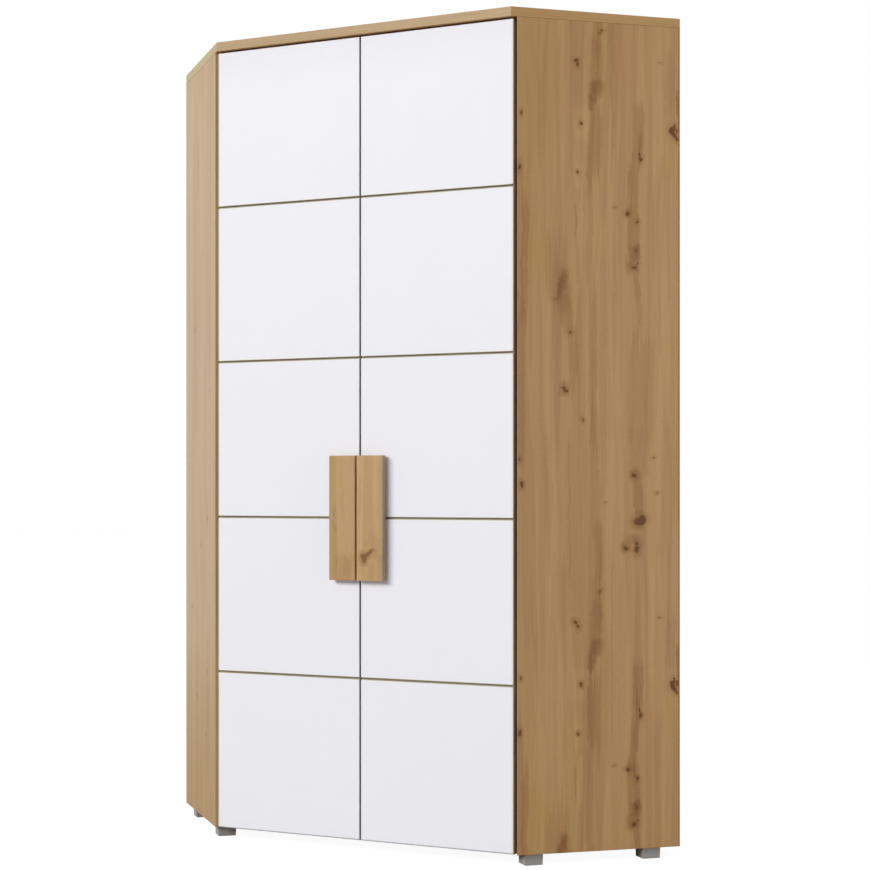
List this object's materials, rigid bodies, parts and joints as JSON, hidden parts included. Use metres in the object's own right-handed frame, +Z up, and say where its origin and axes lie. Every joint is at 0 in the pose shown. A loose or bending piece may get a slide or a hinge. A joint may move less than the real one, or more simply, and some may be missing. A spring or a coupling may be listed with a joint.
{
  "type": "corner wardrobe",
  "caption": "Tall five-sided corner wardrobe: two panelled doors on the slanted front, bar handles, hat shelf, hanging rail, side shelves and plastic feet.",
  "frame": {"origin": "centre of the bounding box on the floor", "axes": "+Z up, +Y towards the room corner that the wardrobe fills, the doors face -Y, +X to the right seen from the doors"},
  "size_m": [1.4142, 1.0194, 1.987],
  "materials": {
    "oak_board": "matt knotty oak decor on board",
    "white_facing": "satin white lacquer",
    "hardboard": "thin hardboard, printed inside, raw behind",
    "grey_plastic": "matt moulded",
    "nickel_fitting": "nickel-plated steel",
    "chromed_rail": "polished chrome plate"
  },
  "bodies": {
    "root": {"top_board": "oak_board", "bottom_board": "oak_board", "left_side_panel": "oak_board", "right_side_panel": "oak_board", "left_back_panel": "hardboard", "right_back_panel": "hardboard", "back_corner_post": "oak_board", "hat_shelf": "oak_board", "partition_panel": "oak_board", "shelf_lower": "oak_board", "shelf_middle": "oak_board", "shelf_upper": "oak_board", "clothes_rail": "chromed_rail", "rail_flange": "nickel_fitting", "rail_hanger": "nickel_fitting", "foot_front_left": "grey_plastic", "foot_rear_left": "grey_plastic", "foot_front_right": "grey_plastic", "foot_rear_right": "grey_plastic", "foot_back_corner": "grey_plastic", "left_hinge_arm_1": "nickel_fitting", "left_hinge_arm_2": "nickel_fitting", "left_hinge_arm_3": "nickel_fitting", "left_hinge_arm_4": "nickel_fitting", "right_hinge_arm_1": "nickel_fitting", "right_hinge_arm_2": "nickel_fitting", "right_hinge_arm_3": "nickel_fitting", "right_hinge_arm_4": "nickel_fitting"},
    "left_door": {"left_door_core": "oak_board", "left_facing_1": "white_facing", "left_facing_2": "white_facing", "left_facing_3": "white_facing", "left_facing_4": "white_facing", "left_facing_5": "white_facing", "left_handle_bar": "oak_board", "left_handle_spacer": "oak_board", "left_hinge_cup_1": "nickel_fitting", "left_hinge_pin_1": "nickel_fitting", "left_hinge_cup_2": "nickel_fitting", "left_hinge_pin_2": "nickel_fitting", "left_hinge_cup_3": "nickel_fitting", "left_hinge_pin_3": "nickel_fitting", "left_hinge_cup_4": "nickel_fitting", "left_hinge_pin_4": "nickel_fitting"},
    "right_door": {"right_door_core": "oak_board", "right_facing_1": "white_facing", "right_facing_2": "white_facing", "right_facing_3": "white_facing", "right_facing_4": "white_facing", "right_facing_5": "white_facing", "right_handle_bar": "oak_board", "right_handle_spacer": "oak_board", "right_hinge_cup_1": "nickel_fitting", "right_hinge_pin_1": "nickel_fitting", "right_hinge_cup_2": "nickel_fitting", "right_hinge_pin_2": "nickel_fitting", "right_hinge_cup_3": "nickel_fitting", "right_hinge_pin_3": "nickel_fitting", "right_hinge_cup_4": "nickel_fitting", "right_hinge_pin_4": "nickel_fitting"}
  },
  "joints": [
    {"name": "left_door_hinge", "type": "hinge", "parent": "root", "child": "left_door", "pos_m": [-0.39599, -0.47781, 0.99425], "axis": [0, 0, -1], "range_deg": [0, 105]},
    {"name": "right_door_hinge", "type": "hinge", "parent": "root", "child": "right_door", "pos_m": [0.39599, -0.47781, 0.99425], "axis": [0, 0, 1], "range_deg": [0, 105]}
  ]
}
